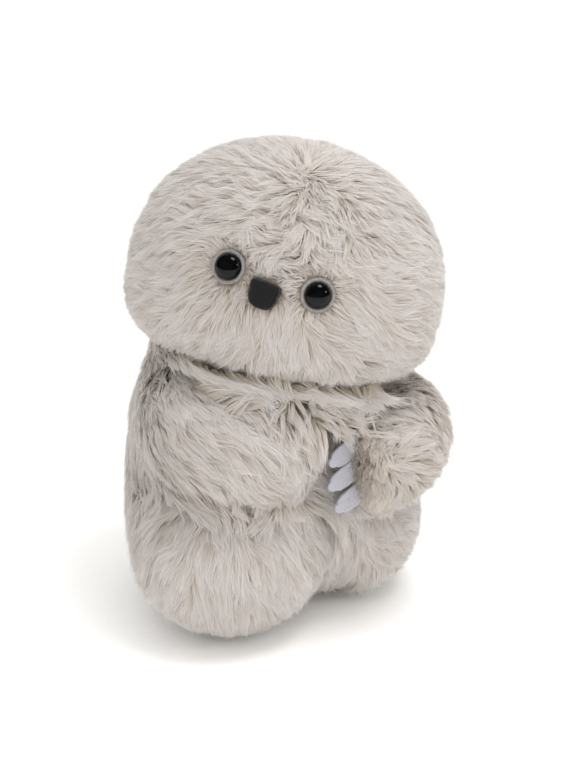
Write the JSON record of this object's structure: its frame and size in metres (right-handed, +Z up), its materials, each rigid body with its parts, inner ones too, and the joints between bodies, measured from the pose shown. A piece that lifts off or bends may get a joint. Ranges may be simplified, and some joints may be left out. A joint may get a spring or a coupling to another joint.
{
  "type": "plush owl toy",
  "caption": "Seated plush owl with a large round head on a soft furry body, hugging arms with felt claws, splayed stub legs, safety eyes and a small cloth beak.",
  "frame": {"origin": "on the floor plane, under the centre of the toy's outer box", "axes": "+Z up, -Y the way the body faces, +X the toy's own left"},
  "size_m": [0.1578, 0.1392, 0.224],
  "materials": {
    "fur_cloth": "cream-grey faux fur, silky pile laid in clumps on a knitted backing",
    "stuffing": "loose white fibre fill",
    "pellets": "cloth bag of small plastic pellets",
    "eye_plastic": "polished black dome",
    "rim_plastic": "matte grey-white ring",
    "washer_plastic": "pale moulded lock washer",
    "beak_cloth": "black woven patch, whip-stitched at its edge",
    "felt": "pale lilac-grey pressed felt"
  },
  "bodies": {
    "body": {"body_skin": "fur_cloth", "pellet_bag": "pellets", "body_stuffing": "stuffing"},
    "head": {"eye_right": "eye_plastic", "eye_rim_right": "rim_plastic", "eye_washer_right": "washer_plastic", "eye_left": "eye_plastic", "eye_rim_left": "rim_plastic", "eye_washer_left": "washer_plastic", "beak": "beak_cloth", "head_skin": "fur_cloth", "head_stuffing": "stuffing"},
    "arm_left": {"claw_left_1": "felt", "claw_left_2": "felt", "claw_left_3": "felt", "arm_left_skin": "fur_cloth", "arm_left_stuffing": "stuffing"},
    "arm_right": {"claw_right_1": "felt", "claw_right_2": "felt", "claw_right_3": "felt", "arm_right_skin": "fur_cloth", "arm_right_stuffing": "stuffing"},
    "leg_left": {"leg_left_skin": "fur_cloth", "leg_left_stuffing": "stuffing"},
    "leg_right": {"leg_right_skin": "fur_cloth", "leg_right_stuffing": "stuffing"}
  },
  "joints": [
    {"name": "neck_turn", "type": "hinge", "parent": "body", "child": "head", "pos_m": [0.00675, 0.0022, 0.1579], "axis": [0.2234, 0.1188, 0.9675], "range_deg": [-25, 25], "stiffness_Nm_per_rad": 0.25},
    {"name": "shoulder_left", "type": "hinge", "parent": "body", "child": "arm_left", "pos_m": [0.05862, 0.013, 0.097], "axis": [-0.3489, 0, 0.9371], "range_deg": [0, 20], "stiffness_Nm_per_rad": 0.08},
    {"name": "shoulder_right", "type": "hinge", "parent": "body", "child": "arm_right", "pos_m": [-0.06538, 0.015, 0.104], "axis": [-0.3489, 0, -0.9371], "range_deg": [0, 20], "stiffness_Nm_per_rad": 0.08},
    {"name": "hip_left", "type": "hinge", "parent": "body", "child": "leg_left", "pos_m": [0.04862, 0.037, 0.03], "axis": [0, 0, 1], "range_deg": [0, 12], "stiffness_Nm_per_rad": 0.15},
    {"name": "hip_right", "type": "hinge", "parent": "body", "child": "leg_right", "pos_m": [-0.06738, 0.017, 0.03], "axis": [0, 0, -1], "range_deg": [0, 12], "stiffness_Nm_per_rad": 0.15}
  ]
}
